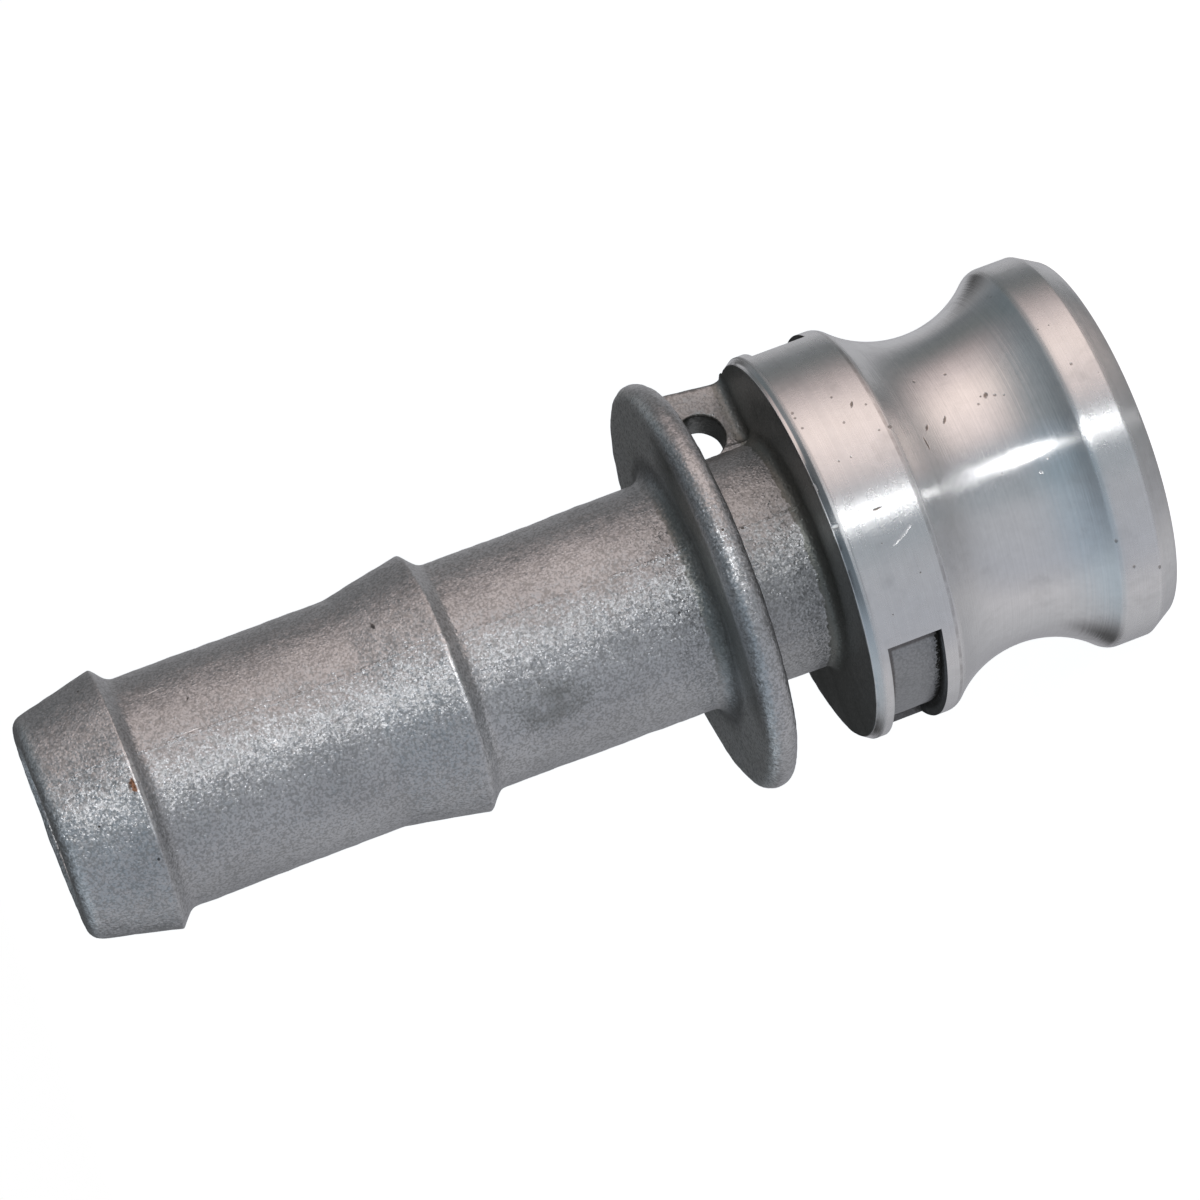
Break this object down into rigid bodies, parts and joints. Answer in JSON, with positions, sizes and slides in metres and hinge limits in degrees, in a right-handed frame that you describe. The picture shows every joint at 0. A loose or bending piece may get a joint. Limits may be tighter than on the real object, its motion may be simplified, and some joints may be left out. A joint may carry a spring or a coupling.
{
  "type": "cam and groove hose shank adapter",
  "caption": "Male half of a cam and groove coupling: grooved cam head, neck with a drilled web, collar and a barbed hose shank.",
  "frame": {"origin": "centre of the sealing face, which the adapter stands on", "axes": "+Z along the water way's axis from the sealing face to the hose end, +X out through the drilled web, +Y along the lanyard hole"},
  "size_m": [0.0338, 0.0338, 0.0885],
  "materials": {
    "cast_aluminium": "as-cast matt grey shank, collar and web, with a bright turned cam head"
  },
  "bodies": {
    "root": {"hose_shank_adapter": "cast_aluminium"}
  },
  "joints": []
}
